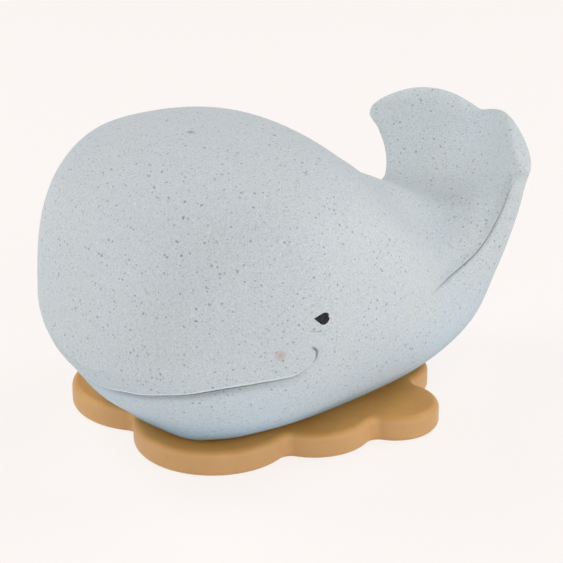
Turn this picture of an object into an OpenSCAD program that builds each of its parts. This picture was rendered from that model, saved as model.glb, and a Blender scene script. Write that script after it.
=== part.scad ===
// Hollow rubber whale for the bath, seated on a lobed stopper plate that plugs its belly.
// Lengths are in millimetres. +Z is up, the snout points to -X and the tail to +X.
// The origin is on the plate's underside, on the axis of its plug.

/* [Whale] */
// Length of the whale from its snout to the root of the tail notch
body_l = 130; // [115:1:145]
// Width across the cheeks
body_w = 90; // [80:1:100]
// Height of the whale above the plate, which the body's sections follow
body_h = 80; // [72:1:88]
// Thickness of the rubber wall
wall_t = 4; // [3:0.5:5]
// Thickness of the floor round the neck
floor_t = 5; // [4:0.5:6]
// Height of the collar that stands inside the neck
collar_h = 5; // [3:0.5:7]
// Wall of that collar
collar_t = 4; // [3:0.5:6]
// Bore of the blowhole
blowhole_d = 2.6; // [1.5:0.1:4]
// Width of the mouth line and of the line beside the tail
line_w = 1.2; // [0.8:0.1:1.6]

/* [Eyes] */
// Length of an eye from its point to its round end
eye_l = 5; // [4:0.1:6]
// Height of an eye at its round end
eye_h = 3.4; // [2.5:0.1:4]
// Thickness of the inlay
eye_t = 1.2; // [0.8:0.1:1.6]
// How far the inlay stands out of the skin
eye_proud = 0.2; // [0.1:0.05:0.4]
// Clearance round the inlay in its pocket
eye_gap = 0.1; // [0.05:0.05:0.2]

/* [Stopper plate] */
// Length of the lobed plate
plate_l = 90; // [80:1:100]
// Width of the lobed plate
plate_w = 84; // [76:1:94]
// Thickness of the plate
plate_t = 7; // [6:0.5:9]
// Rounding of the plate's edges
plate_round = 1.6; // [1:0.1:2]
// Radius of the hollow between two lobes
notch_r = 3; // [2:0.5:4]
// Diameter of the plug on the plate
plug_d = 40; // [34:1:44]
// Height of the plug above the plate
plug_h = 12; // [10:0.5:14]
// Bevel at the top of the plug
plug_bevel = 1.5; // [1:0.1:2]
// Clearance of the plug in the neck, on the radius
plug_gap = 0.05; // [0.03:0.01:0.1]

/* [Squeaker] */
// Outer diameter of the squeaker's cup
cup_d = 18; // [16:0.5:20]
// Height of the cup below its cap
cup_h = 11; // [10:0.5:12]
// Wall of the cup and of its cap
cup_t = 1; // [0.8:0.1:1.2]
// Diameter of the cup's flange
flange_d = 22; // [21:0.5:24]
// Thickness of the flange
flange_t = 1.2; // [1:0.1:1.5]
// How far the flange sits up inside the plate
flange_rise = 0.6; // [0.4:0.1:1]
// Diameter of the air holes in the cup and its cap
air_d = 3; // [2:0.5:4]
// Diameter of the passage from the squeaker through the top of the plug
outlet_d = 8; // [6:0.5:12]
// Height of the ledge that carries the reed plate over the cup's floor
ledge_h = 5; // [4:0.5:6]
// Thickness of the reed plate
reed_plate_t = 1; // [0.8:0.1:1.4]
// Length of the reed beyond its pivot
reed_l = 9; // [8:0.5:10]
// Width of the reed
reed_w = 4; // [3:0.5:5]
// Thickness of the reed
reed_t = 0.3; // [0.2:0.05:0.4]
// Length of the reed's root behind the pivot
reed_root = 1.5; // [1:0.25:2]
// Clearance round the reed
reed_gap = 0.25; // [0.2:0.05:0.4]
// Clearance of each piece of the squeaker in its seat
seat_gap = 0.05; // [0.03:0.01:0.1]

/* [Hidden] */

// How far a cut runs past the face it opens
over = 1;

// Stations along the whale, from the snout to the trailing edge of the tail.
// Place of each station, as a share of body_l
along_shares = [-0.45, -0.4, -0.27, -0.14, 0.025, 0.18, 0.33, 0.42, 0.485, 0.495, 0.5, 0.535];
// Height of the side line above the plate, as a share of body_h
height_shares = [0.275, 0.39, 0.44, 0.465, 0.435, 0.37, 0.365, 0.39, 0.515, 0.68, 0.775, 0.83];
// Half of the width, as a share of body_w
side_shares = [0.25, 0.36, 0.455, 0.51, 0.48, 0.395, 0.3, 0.255, 0.27, 0.32, 0.345, 0.33];
// Rise of the back over the side line, as a share of body_h
back_shares = [0.28, 0.41, 0.48, 0.48, 0.485, 0.43, 0.335, 0.175, 0.06, 0.01, -0.02, -0.08];
// Drop of the belly under the side line, as a share of body_h
belly_shares = [0.04, 0.255, 0.48, 0.54, 0.525, 0.465, 0.44, 0.345, 0.255, 0.22, 0.125, 0.11];
// Sweep of the tail's sides and bulge of its two lobes, as shares of body_l
sweep_shares = [0, 0, 0, 0, 0, 0, 0, 0, -0.002, -0.025, -0.05, -0.087];
lobe_shares = [0, 0, 0, 0, 0, 0, 0, 0, 0, 0.05, 0.048, 0.022];
// Backward lean of each section, in degrees
leans = [-2, -2, 0, 0, 3, 11, 26, 38, 49, 57, 59, 51];
// Fullness of the back and of the belly: 1 is round, less is boxy, more is peaked
back_powers = [0.78, 0.5, 0.38, 0.4, 0.46, 0.65, 1.1, 1.5, 1.8, 2, 2, 2];
belly_powers = [1.05, 1.05, 0.92, 0.93, 0.96, 0.98, 1, 1, 1.05, 1.2, 1.2, 1.2];
last_station = len(leans) - 1;
// Stations over which the snout and the trailing edge round off, and how full they are
snout_stations = 2;
snout_power = 2.3;
edge_stations = 0.8;
edge_power = 2;
// The trailing edge stops just short of a knife edge
edge_stop = 0.02;

// Rings and points per ring of the outer skin and of the hollow
skin_rings = 48;
skin_turns = 60;
hollow_rings = 22;
hollow_turns = 32;
// The hollow runs between these stations
hollow_from = 0.7;
hollow_to = 6;

// Mouth line on the left side: its places in stations and turns, from the snout to the cheek
mouth_stations = [0.8, 0.79, 0.89, 1.1, 1.3, 1.54, 1.82, 2.13, 2.44, 2.69, 2.9, 2.97, 2.96, 2.87];
mouth_turns = [270, 249, 230.5, 218, 209.5, 202, 198, 197.2, 197.4, 197.3, 194, 191.3, 189, 186.8];
mouth_steps = 26;
// Line beside the tail, at the fold between its hollow front and its keel
fold_from = 5.3;
fold_to = 10.6;
fold_steps = 18;
line_sides = 6;

// Places of the eye and of the blowhole in stations and turns
eye_station = 3.02;
eye_turn = 177.7;
eye_tilt = 14;
blowhole_station = 2.71;

// Lobes of the plate, anticlockwise: place and radius as shares of plate_l, plate_w and plate_l
lobe_places_shares = [
    [0.35, -0.12, 0.15],
    [0.33, 0.17, 0.15],
    [0.17, 0.335, 0.145],
    [-0.03, 0.33, 0.165],
    [-0.26, 0.255, 0.228],
    [-0.265, -0.11, 0.234],
    [-0.005, -0.255, 0.178],
    [0.22, -0.36, 0.132]
];
arc_steps = 12;
round_steps = 4;

neck_r = plug_d / 2;
plug_r = neck_r - plug_gap;
// The squeaker from its flange up: seat of the flange, of the reed plate, of the cap and its top
flange_seat = flange_rise + flange_t;
reed_seat = flange_seat + ledge_h;
cap_seat = flange_seat + cup_h;
cap_top = cap_seat + cup_t;
cup_r = cup_d / 2;
cup_bore_r = cup_r - cup_t;
ledge_r = cup_bore_r - cup_t;
// Where the reed bends
pivot_x = -reed_l / 2;

$fn = 96;

// Smooth curve through a list of values, read at a place counted in stations
function along(values, place) =
    let (last = len(values) - 1,
         i = min(floor(place), last - 1),
         f = place - i,
         here = values[i],
         next = values[i + 1],
         before = i > 0 ? values[i - 1] : 2 * here - next,
         after = i + 2 > last ? 2 * next - here : values[i + 2])
    here + f / 2 * (next - before
        + f * (2 * before - 5 * here + 4 * next - after
        + f * (3 * (here - next) + after - before)));

// Rises from 0 to 1 like the side of a rounded end
function rounded(share, power) =
    pow(1 - pow(1 - min(1, max(0, share)), power), 1 / power);

// A point of the skin, or of a surface that lies inset under it. The turn goes round a section
// from the right side at 0 over the back at 90 and the left side at 180 to the belly at 270.
function skin_point(place, turn, inset = 0, from = 0, to = last_station) =
    let (tip = rounded((place - from) / snout_stations, snout_power),
         thin = rounded((to - place) / edge_stations, edge_power),
         side = body_w * along(side_shares, place) - inset,
         back = body_h * along(back_shares, place) - inset,
         belly = body_h * along(belly_shares, place) - inset,
         up = along(back_powers, place),
         down = along(belly_powers, place),
         s = abs(sin(turn)),
         reach = sqrt(max(0, 1 - pow(s, 2 / min(1, sin(turn) < 0 ? down : up)))),
         top = back * pow(s, max(1, up)),
         bottom = -belly * pow(s, max(1, down)),
         middle = (top + bottom) / 2,
         half = (top - bottom) / 2 * thin,
         h = tip * (sin(turn) < 0 ? middle - half : middle + half),
         lean = along(leans, place),
         swept = body_l * (along(sweep_shares, place) * reach * reach
             + along(lobe_shares, place) * sin(180 * reach)))
    [body_l * along(along_shares, place) - h * sin(lean) + swept * cos(lean),
     side * tip * reach * sign(cos(turn)),
     plate_t + body_h * along(height_shares, place) + h * cos(lean) + swept * sin(lean)];

// Places of the rings, closer together towards both ends
function ring_place(i, rings, from, to) =
    let (s = i / rings)
    from + (to - from) * (0.55 * s + 0.45 * (0.5 - 0.5 * cos(180 * s)));

// Closed solid through rings of points: a pole in front, and a flat closing strip at the back
module lofted(rings, turns, inset, from, to, stop) {
    points = concat(
        [skin_point(from, 0, inset, from, to)],
        [for (i = [1:rings]) for (j = [0:turns - 1])
            skin_point(ring_place(i, rings, from, to - stop), 360 * j / turns, inset, from, to)]);
    function at(i, j) = 1 + (i - 1) * turns + (j + turns) % turns;
    faces = concat(
        [for (j = [0:turns - 1]) [0, at(1, j), at(1, j + 1)]],
        [for (i = [1:rings - 1]) for (j = [0:turns - 1]) [at(i, j), at(i + 1, j), at(i + 1, j + 1)]],
        [for (i = [1:rings - 1]) for (j = [0:turns - 1]) [at(i, j), at(i + 1, j + 1), at(i, j + 1)]],
        [for (j = [0:turns / 2 - 2]) [at(rings, j), at(rings, -j - 1), at(rings, j + 1)]],
        [for (j = [1:turns / 2 - 1]) [at(rings, j), at(rings, -j), at(rings, -j - 1)]]);
    polyhedron(points = points, faces = faces, convexity = 6);
}

// Everything on the far side of a level, as wide as the whale
module below(level) {
    translate([-body_l, -body_l, level - 2 * body_h])
        cube([2 * body_l, 2 * body_l, 2 * body_h]);
}

module hollow() {
    difference() {
        lofted(hollow_rings, hollow_turns, wall_t, hollow_from, hollow_to, edge_stop);
        below(plate_t + floor_t);
        cylinder(r = neck_r + collar_t, h = plate_t + floor_t + collar_h);
    }
}

// A line pressed into the skin: a thin tube along points that lie on it
module pressed(path, up) {
    last = len(path) - 1;
    rings = [for (k = [0:last])
        let (d = path[min(k + 1, last)] - path[max(k - 1, 0)],
             side = cross(d, up) / norm(cross(d, up)),
             rise = cross(side, d) / norm(cross(side, d)))
        for (j = [0:line_sides - 1])
            let (a = 360 * j / line_sides)
            path[k] + line_w / 2 * (cos(a) * side + sin(a) * rise)];
    function at(k, j) = k * line_sides + j % line_sides;
    faces = concat(
        [for (k = [0:last - 1]) for (j = [0:line_sides - 1]) [at(k, j), at(k, j + 1), at(k + 1, j + 1)]],
        [for (k = [0:last - 1]) for (j = [0:line_sides - 1]) [at(k, j), at(k + 1, j + 1), at(k + 1, j)]],
        [for (j = [1:line_sides - 2]) [at(0, 0), at(0, j + 1), at(0, j)]],
        [for (j = [1:line_sides - 2]) [at(last, 0), at(last, j), at(last, j + 1)]]);
    polyhedron(points = rings, faces = faces, convexity = 4);
}

module mouth_line() {
    places = len(mouth_stations) - 1;
    path = [for (k = [-mouth_steps:mouth_steps])
        let (place = places * abs(k) / mouth_steps, turn = along(mouth_turns, place))
        skin_point(along(mouth_stations, place), k < 0 ? 540 - turn : turn)];
    pressed(path, [0, 0, 1]);
}

module fold_lines() {
    for (turn = [0, 180])
        pressed([for (k = [0:fold_steps]) skin_point(fold_from + (fold_to - fold_from) * k / fold_steps, turn)],
            [0, 1, 0]);
}

module blowhole() {
    crown = skin_point(blowhole_station, 90);
    translate(crown - [0, 0, 2 * wall_t])
        cylinder(d = blowhole_d, h = 2 * wall_t + over);
}

// Eye on the left side: a drop with its point forward, laid along the skin
module drop(grow, deep) {
    r = eye_h / 2 + grow;
    reach = eye_l - eye_h / 2;
    lift = asin(r / reach);
    rotate([90, 0, 0])
        linear_extrude(deep) {
            translate([reach - eye_l / 2, 0])
                circle(r = r);
            translate([reach - eye_l / 2, 0])
                polygon([[-reach - grow, 0], [-r * sin(lift), -r * cos(lift)], [-r * sin(lift), r * cos(lift)]]);
        }
}

module at_left_eye() {
    run = skin_point(eye_station + 0.1, eye_turn) - skin_point(eye_station - 0.1, eye_turn);
    translate(skin_point(eye_station, eye_turn))
        rotate([0, eye_tilt, heading(run)])
            translate([0, eye_t - eye_proud, 0])
                children();
}

module eye_left() color([0.18, 0.19, 0.2])
    at_left_eye()
        drop(0, eye_t);

module eye_right() color([0.18, 0.19, 0.2])
    mirror([0, 1, 0])
        at_left_eye()
            drop(0, eye_t);

module eye_pocket() {
    at_left_eye()
        translate([0, eye_gap, 0])
            drop(eye_gap, eye_t + eye_gap + over);
}

module whale_body() color([0.79, 0.82, 0.83])
    difference() {
        lofted(skin_rings, skin_turns, 0, 0, last_station, edge_stop);
        below(plate_t);
        hollow();
        translate([0, 0, plate_t - over])
            cylinder(r = neck_r, h = floor_t + collar_h + 2 * over);
        blowhole();
        mouth_line();
        fold_lines();
        eye_pocket();
        mirror([0, 1, 0])
            eye_pocket();
    }

// Lobes of the plate in millimetres, and the direction of a vector
lobe_count = len(lobe_places_shares);
lobes = [for (p = lobe_places_shares) [plate_l * p[0], plate_w * p[1], plate_l * p[2]]];
function centre(i) = [lobes[i % lobe_count][0], lobes[i % lobe_count][1]];
function radius(i) = lobes[i % lobe_count][2];
// Centre of the hollow that joins lobe i to the next one
function hollow_centre(i) =
    let (a = centre(i),
         b = centre(i + 1),
         d = norm(b - a),
         ra = radius(i) + notch_r,
         rb = radius(i + 1) + notch_r,
         x = (d * d + ra * ra - rb * rb) / (2 * d),
         y = sqrt(ra * ra - x * x),
         u = (b - a) / d)
    a + x * u + y * [u[1], -u[0]];
function heading(v) = atan2(v[1], v[0]);
// Points and outward normals of the outline: each lobe's arc, then the hollow after it
outline = [for (i = [0:lobe_count - 1])
    let (before = hollow_centre(i + lobe_count - 1),
         after = hollow_centre(i),
         start = heading(before - centre(i)),
         sweep = (heading(after - centre(i)) - start + 720) % 360,
         back_start = heading(centre(i) - after),
         back_sweep = (back_start - heading(centre(i + 1) - after) + 720) % 360)
    each concat(
        [for (k = [0:arc_steps])
            let (a = start + sweep * k / arc_steps, n = [cos(a), sin(a)])
            [centre(i) + radius(i) * n, n]],
        [for (k = [1:arc_steps / 2 - 1])
            let (a = back_start - back_sweep * k / (arc_steps / 2), n = -[cos(a), sin(a)])
            [after - notch_r * n, n]])];

// Slab with the outline's rim rounded above and below
module rounded_slab() {
    count = len(outline);
    rims = 2 * (round_steps + 1);
    function rim(k) = k <= round_steps
        ? [plate_round * (1 - sin(90 * k / round_steps)), plate_round * (1 - cos(90 * k / round_steps))]
        : [rim(rims - 1 - k)[0], plate_t - rim(rims - 1 - k)[1]];
    points = concat(
        [for (k = [0:rims - 1]) for (p = outline)
            [p[0][0] - rim(k)[0] * p[1][0], p[0][1] - rim(k)[0] * p[1][1], rim(k)[1]]],
        [[0, 0, 0], [0, 0, plate_t]]);
    function at(k, j) = k * count + j % count;
    faces = concat(
        [for (k = [0:rims - 2]) for (j = [0:count - 1]) [at(k, j), at(k + 1, j), at(k + 1, j + 1)]],
        [for (k = [0:rims - 2]) for (j = [0:count - 1]) [at(k, j), at(k + 1, j + 1), at(k, j + 1)]],
        [for (j = [0:count - 1]) [rims * count, at(0, j), at(0, j + 1)]],
        [for (j = [0:count - 1]) [rims * count + 1, at(rims - 1, j + 1), at(rims - 1, j)]]);
    polyhedron(points = points, faces = faces, convexity = 4);
}

module base_plate() color([0.75, 0.55, 0.33])
    difference() {
        union() {
            rounded_slab();
            translate([0, 0, plate_t / 2])
                cylinder(r = plug_r, h = plate_t / 2 + plug_h - plug_bevel);
            translate([0, 0, plate_t + plug_h - plug_bevel])
                cylinder(r1 = plug_r, r2 = plug_r - plug_bevel, h = plug_bevel);
        }
        translate([0, 0, -over])
            cylinder(r = flange_d / 2 + seat_gap, h = over + flange_seat);
        cylinder(r = cup_r + seat_gap, h = cap_top + reed_gap);
        cylinder(d = outlet_d, h = plate_t + plug_h + over);
    }

module squeaker_cup() color([0.93, 0.93, 0.9])
    difference() {
        union() {
            translate([0, 0, flange_rise]) {
                cylinder(d = flange_d, h = flange_t);
                cylinder(r = cup_r, h = cap_seat - flange_rise);
            }
        }
        translate([0, 0, flange_seat])
            cylinder(r = ledge_r, h = cup_h + over);
        translate([0, 0, reed_seat])
            cylinder(r = cup_bore_r, h = cup_h);
        translate([0, 0, flange_rise - over])
            cylinder(d = air_d, h = flange_t + 2 * over);
    }

// Lid whose skirt holds the reed plate down, with a pad over the reed's root
module squeaker_cap() color([0.93, 0.93, 0.9])
    difference() {
        union() {
            translate([0, 0, cap_seat])
                cylinder(r = cup_r, h = cup_t);
            translate([0, 0, reed_seat + reed_plate_t])
                difference() {
                    cylinder(r = cup_bore_r - seat_gap, h = cap_seat - reed_seat - reed_plate_t);
                    translate([0, 0, -over])
                        cylinder(r = ledge_r, h = cup_h);
                }
            intersection() {
                translate([-cup_r, -reed_w, reed_seat + reed_plate_t + 2 * reed_gap + reed_t])
                    cube([cup_r + pivot_x, 2 * reed_w, cap_seat - reed_seat - reed_plate_t - 2 * reed_gap - reed_t]);
                cylinder(r = cup_bore_r - seat_gap, h = cap_top);
            }
        }
        translate([0, 0, cap_seat - over])
            cylinder(d = air_d, h = cup_t + 2 * over);
    }

module reed_plate() color([0.93, 0.93, 0.9])
    difference() {
        translate([0, 0, reed_seat])
            cylinder(r = cup_bore_r - seat_gap, h = reed_plate_t);
        translate([pivot_x, -reed_w / 2 - reed_gap, reed_seat - over])
            cube([reed_l + reed_gap, reed_w + 2 * reed_gap, reed_plate_t + 2 * over]);
    }

module squeaker_reed() color([0.85, 0.86, 0.82])
    translate([pivot_x - reed_root, -reed_w / 2, reed_seat + reed_plate_t + reed_gap])
        cube([reed_root + reed_l, reed_w, reed_t]);

whale_body();
eye_left();
eye_right();
base_plate();
squeaker_cup();
squeaker_cap();
reed_plate();
squeaker_reed();
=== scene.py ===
# Looks of a rubber bath whale on its lobed stopper plate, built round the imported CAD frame.
import bpy
import numpy as np
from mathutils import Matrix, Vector


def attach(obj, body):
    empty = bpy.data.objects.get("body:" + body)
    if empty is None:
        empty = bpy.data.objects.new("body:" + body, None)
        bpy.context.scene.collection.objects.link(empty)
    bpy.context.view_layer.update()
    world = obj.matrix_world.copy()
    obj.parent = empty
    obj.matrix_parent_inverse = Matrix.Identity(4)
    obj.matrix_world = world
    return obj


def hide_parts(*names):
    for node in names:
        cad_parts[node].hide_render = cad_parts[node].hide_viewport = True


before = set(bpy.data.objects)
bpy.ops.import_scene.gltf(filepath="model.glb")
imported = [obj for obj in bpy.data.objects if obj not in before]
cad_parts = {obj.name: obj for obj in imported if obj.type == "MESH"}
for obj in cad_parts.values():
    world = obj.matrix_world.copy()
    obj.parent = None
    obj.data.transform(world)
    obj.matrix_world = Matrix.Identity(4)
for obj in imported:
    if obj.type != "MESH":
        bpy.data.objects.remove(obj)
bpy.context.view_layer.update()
mm = 0.001
print("frame loaded", sorted(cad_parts))


# Colour of a photograph's pixel, 0 to 255, as Blender's linear colour.
def pixelColour(red, green, blue):
    value = np.array([red, green, blue]) / 255
    linear = np.where(value <= 0.04045, value / 12.92, ((value + 0.055) / 1.055) ** 2.4)
    return (*linear.tolist(), 1.0)


# Mesh object at the origin from points in millimetres and rows of corner numbers, faces turned outward:
# the signed volume is the sum over the fanned faces of a . (b x c) / 6, and a negative one flips them all.
def makePiece(name, points, *faceRows):
    volume = 0.0
    for rows in faceRows:
        for k in range(1, rows.shape[1] - 1):
            a, b, c = points[rows[:, 0]], points[rows[:, k]], points[rows[:, k + 1]]
            volume += np.einsum("ij,ij->", a, np.cross(b, c)) / 6
    faces = [row for rows in faceRows for row in (rows[:, ::-1] if volume < 0 else rows).tolist()]
    mesh = bpy.data.meshes.new(name)
    mesh.from_pydata((points * mm).tolist(), [], faces)
    mesh.polygons.foreach_set("use_smooth", np.ones(len(mesh.polygons), bool))
    mesh.update(calc_edges=True)
    piece = bpy.data.objects.new(name, mesh)
    bpy.context.scene.collection.objects.link(piece)
    return piece


# Corner numbers of the quads between rows and columns of a grid that closes in its columns, and in its rows
# if asked.
def gridQuads(rows, columns, first=0, closedRows=False):
    i = np.arange(rows if closedRows else rows - 1)[:, None]
    j = np.arange(columns)[None, :]
    after, beside = (i + 1) % rows, (j + 1) % columns
    quads = np.stack([i * columns + j, i * columns + beside, after * columns + beside, after * columns + j], -1)
    return quads.reshape(-1, 4) + first


# Catmull-Rom curve through a list of values, read at places counted in stations.
def curve(values, place):
    v = np.asarray(values, float)
    padded = np.concatenate([[2 * v[0] - v[1]], v, [2 * v[-1] - v[-2]]])
    i = np.clip(np.floor(place).astype(int), 0, len(v) - 2)
    f = place - i
    before, here, after, beyond = padded[i], padded[i + 1], padded[i + 2], padded[i + 3]
    return here + f / 2 * (after - before + f * (2 * before - 5 * here + 4 * after - beyond
        + f * (3 * (here - after) + beyond - before)))


# Rises from 0 to 1 like the side of a rounded end: (1 - (1 - x)^power)^(1 / power).
def rounded(share, power):
    return (1 - (1 - np.clip(share, 0, 1)) ** power) ** (1 / power)


# Smooth step from 0 at low to 1 at high.
def ease(low, high, value):
    t = np.clip((value - low) / (high - low), 0, 1)
    return t * t * (3 - 2 * t)


# Bell of height 1 round a centre: exp(-((value - centre) / width)^2).
def bell(value, centre, width):
    return np.exp(-((value - centre) / width) ** 2)


whale = {
    "length": 130.0, "width": 90.0, "height": 80.0, "bellyLevel": 7.0,
    "along": [-0.45, -0.4, -0.27, -0.14, 0.025, 0.18, 0.342, 0.436, 0.459, 0.461, 0.472, 0.502],
    "heights": [0.275, 0.39, 0.44, 0.465, 0.435, 0.37, 0.346, 0.386, 0.464, 0.568, 0.711, 0.913],
    "sides": [0.25, 0.36, 0.455, 0.51, 0.48, 0.405, 0.279, 0.247, 0.267, 0.309, 0.352, 0.344],
    "backs": [0.28, 0.41, 0.48, 0.48, 0.485, 0.43, 0.41, 0.314, 0.117, -0.047, -0.132, -0.109],
    "bellies": [0.04, 0.255, 0.48, 0.54, 0.525, 0.41, 0.353, 0.246, 0.248, 0.272, 0.249, 0.134],
    "sweeps": [0, 0, 0, 0, 0, 0, 0, 0, 0.036, 0.048, -0.015, -0.125],
    "leans": [-2, -2, 0, 0, 3, 11, 32, 44, 53, 67, 77, 75],
    "backPowers": [0.78, 0.5, 0.38, 0.4, 0.46, 0.65, 1.1, 1.5, 2.2, 3, 3.8, 4],
    "bellyPowers": [1.05, 1.05, 0.92, 0.93, 0.96, 0.613, 0.503, 0.591, 0.931, 1.2, 1.2, 1.2],
    "snoutStations": 2.0, "snoutPower": 2.3, "edgeStations": 0.45, "edgePower": 2.0,
    "notchDepth": 0.552, "notchReach": 0.881, "notchPower": 1.275, "notchSoft": 0.05, "notchFrom": 8.5,
    "rimRadius": 3.0, "rimFrom": 8.5, "rimFull": 10.0,      # rounding of the tail's rim
    "rings": 292, "turns": 304, "bottomRound": 0.35, "tailGap": 0.002, "sharpAngle": 42,
    "ringGather": (0.8, 0.6, 0.4), "turnGather": (0.72, 15, 360),      # draw the points to the mouth's line
    "gatherPlaces": [0, 0.775, 0.865, 1.079, 1.287, 1.542, 1.818, 2.69, 2.97, 4, 5.3, 11],
    "gatherTurns": [250, 241, 229, 216.2, 208.6, 201.7, 198.3, 197.3, 190, 183, 180, 180],
    "mouthPlaces": [0.8, 0.797, 0.768, 0.775, 0.865, 1.079, 1.287, 1.542, 1.818, 2.13, 2.44, 2.69, 2.9, 2.97,
        2.96, 2.87],
    "mouthTurns": [270, 265, 250, 238, 228.9, 216.2, 208.6, 201.7, 198.3, 197.3, 197.3, 197.2, 194, 191.3, 189,
        186.8],
    "mouthPoints": 500, "mouthFront": -5, "mouthTop": 50,      # it acts in front of this x and under this z
    "mouthShares": [0, 0.08, 0.2, 0.55, 0.75, 0.86, 0.91, 0.95, 0.985, 1],      # shares of the mouth line's length
    "lipStep": [0.3, 0.4, 0.5, 0.5, 0.45, 0.35, 0.12, 0.05, 0.03, 0],      # how far the lip stands over the jaw
    "lipGroove": [0, 0.1, 0.12, 0.12, 0.14, 0.14, 0.08, 0.34, 0.3, 0],      # depth of the line itself
    "lipShade": [0.4, 0.6, 1, 1, 0.6, 0.4, 0.05, 0.95, 0.95, 0],      # painted shade along the line
    "lipHighlight": [0.3, 0.5, 0.9, 0.75, 0.55, 0.35, 0.1, 0.1, 0, 0],      # painted highlight on the lip's edge
    "stepAcross": (-0.15, 0.2), "grooveAcross": (-0.1, 0.3), "mouthFade": (0.2, 1.2),
    "lipSwells": ((0.3, 0, 4.5), (0.22, 0.45, 0.55)),      # share of the step, middle and width across it
    "jawSwells": ((0.5, 0, 3.6), (0.3, -0.5, 0.8)),
    "lineDrop": (0.15, 0.5), "shadowDrop": 2.2, "highlightRise": 0.5,      # where the mouth's painted shade, shadow and highlight are drawn
    "lineReach": 6, "lineDepth": 2, "offLine": 9.0,      # room round a drawn line, distance given beyond it
    # foldShade is the strength of the painted shade along the fold.
    "foldPlaces": [5.2, 5.7, 7, 8.5, 9.0, 9.35], "foldShade": [0, 0.6, 0.8, 0.42, 0.2, 0],
    "foldFrom": 5.2, "foldTo": 9.35, "foldRise": 0.7, "foldFall": 1.4, "foldDepth": 0.5, "foldWidth": 0.42,
    "foldPoints": 400,
    "lidPlaces": [2.83, 2.89, 2.95, 3.01, 3.09, 3.18], "lidTurns": [181.3, 181.7, 182.1, 182.5, 182.65, 182.1],
    "lidPoints": 60, "lidReach": 12, "lidDepth": 0.16, "lidWidth": 0.4,
    "lidDepthMarks": [0, 10, 30, 59], "lidDepths": [0, 1, 0.8, 0.2],      # along the lid's points
    # lidShade is the strength of the painted shade along the lid's crease.
    "lidShadeMarks": [0, 6, 28, 36, 50, 59], "lidShade": [0, 0.4, 0.35, 0.1, 0.2, 0],
    "blemishPlace": 2.4, "blemishTurn": 187.35,
    "chin": (      # place, turn, their widths, rise
        (1.2, 267.0, 0.2, 17.0, 0.6),
        (1.56, 260.0, 0.17, 12.0, -0.5),
        (1.9, 246.0, 0.2, 9.0, 0.6)),
    "eyePlace": 3.02, "eyeTurn": 177.7, "eyeHollow": 0.22, "eyeHollowWidth": 2.9,
    "blowholePlace": 2.71, "blowholeRadius": 0.8, "blowholeSteps": 48,
    "blowholeRim": ((0, -8), (0, -0.9), (0.06, -0.5), (0.25, -0.2), (0.9, 1)),      # more radius, level over the crown
    "crownLevel": 70, "crownRings": ((0.13, 5.2, 0.55), (0.25, 0, 1.5)),      # depth, radius and width
    "wall": 4.0, "floor": 5.0, "floorRound": 0.5, "hollowFrom": 0.7, "hollowTo": 5.6, "hollowGap": 0.02,
    "hollowRings": 56, "hollowTurns": 72,
    "neckRadius": 20.0, "collar": 5.0, "collarWall": 4.0, "collarFoot": 2,
    "collarTop": ((0, -0.8), (-0.25, -0.25), (-0.8, 0)),      # more radius, level over the collar's top
    "neckFoot": ((1.2, -1), (0.5, 0), (0.14, 0.2), (0, 0.6)),      # more radius, level over the belly
    "neckTop": ((0, -0.5), (0.15, -0.15), (0.5, 0), (0.5, 0.6)),
}
lastStation = len(whale["leans"]) - 1


# Point of the whale's skin, or of a surface inset under it. Each station has a leaned section: its height
# over the side line is back x |sin turn|^power above and -belly x |sin turn|^power below, its half width is
# side x reach, where reach is what keeps the points even round it. The snout's size and the tail's
# thickness are rounded to nothing at the ends, and the tail's sides sweep along its run by sweep x reach^2.
# Near the middle of the tail's end the tables are read up to notchDepth stations earlier, which cuts its
# notch, and the rim's bend is rim - sqrt(rim^2 - (rim - distance to the side)^2).
def skinPoint(place, turn, inset=0.0, start=0.0, stop=lastStation):
    place, turn = np.broadcast_arrays(np.asarray(place, float), np.asarray(turn, float))
    tip = rounded((place - start) / whale["snoutStations"], whale["snoutPower"])
    thin = rounded((stop - place) / whale["edgeStations"], whale["edgePower"])
    up, down = curve(whale["backPowers"], place), curve(whale["bellyPowers"], place)
    angle = np.radians(turn)
    s = np.abs(np.sin(angle))
    under = np.sin(angle) < -1e-12
    reach = np.sqrt(np.clip(1 - s ** (2 / np.minimum(1, np.where(under, down, up))), 0, 1))
    off = np.sqrt(reach ** 2 + whale["notchSoft"] ** 2)
    notch = np.clip(1 - off / whale["notchReach"], 0, 1) ** whale["notchPower"]
    ramp = np.clip((place - whale["notchFrom"]) / (lastStation - whale["notchFrom"]), 0, 1) ** 2
    place = place - whale["notchDepth"] * notch * ramp
    side = whale["width"] * curve(whale["sides"], place) - inset
    back = whale["height"] * curve(whale["backs"], place) - inset
    belly = whale["height"] * curve(whale["bellies"], place) - inset
    rim = whale["rimRadius"] * ease(whale["rimFrom"], whale["rimFull"], place)
    bend = rim - np.sqrt(np.clip(rim ** 2 - np.clip(rim - side * (1 - reach), 0, None) ** 2, 0, None))
    top = back * s ** np.maximum(1, up) - bend
    bottom = -belly * s ** np.maximum(1, down) - bend
    middle, half = (top + bottom) / 2, (top - bottom) / 2 * thin
    h = tip * np.where(under, middle - half, middle + half)
    lean = np.radians(curve(whale["leans"], place))
    swept = whale["length"] * curve(whale["sweeps"], place) * reach ** 2
    return np.stack([
        whale["length"] * curve(whale["along"], place) - h * np.sin(lean) + swept * np.cos(lean),
        side * tip * reach * np.sign(np.cos(angle)),
        whale["bellyLevel"] + whale["height"] * curve(whale["heights"], place)
        + h * np.cos(lean) + swept * np.sin(lean)], -1)


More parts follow.
